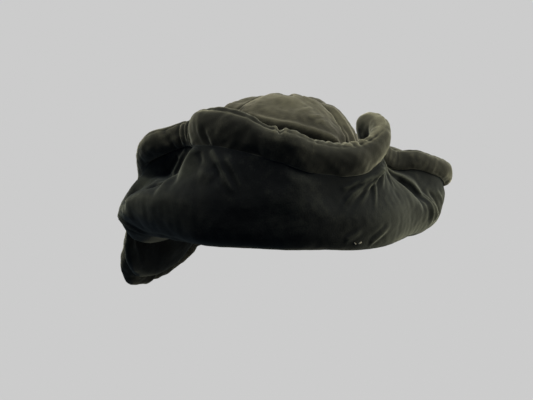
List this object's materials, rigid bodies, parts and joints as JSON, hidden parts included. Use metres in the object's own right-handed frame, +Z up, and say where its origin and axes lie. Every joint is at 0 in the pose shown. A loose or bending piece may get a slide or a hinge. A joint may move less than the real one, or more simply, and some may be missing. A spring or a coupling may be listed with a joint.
{
  "type": "soft velvet tricorn hat",
  "caption": "Soft padded velvet hat with a puffed gored crown and a wide brim turned up and tacked into corners, edged with a stuffed roll.",
  "frame": {"origin": "centre of the head opening, at the height where the crown meets the brim", "axes": "+Z up out of the crown, -Y towards the wearer's front, +X towards the wearer's left"},
  "size_m": [0.344, 0.3039, 0.2192],
  "materials": {
    "crown_velvet": "cotton velvet, faded black, with a soft olive-grey bloom",
    "brim_velvet": "cotton velvet, deep black with crushed lighter folds",
    "roll_velvet": "cotton velvet over wadding, rubbed lighter on its top"
  },
  "bodies": {
    "root": {"crown_gore_front": "crown_velvet", "crown_gore_right": "crown_velvet", "crown_gore_back": "crown_velvet", "crown_gore_left": "crown_velvet", "brim": "brim_velvet", "edge_roll": "roll_velvet"}
  },
  "joints": []
}
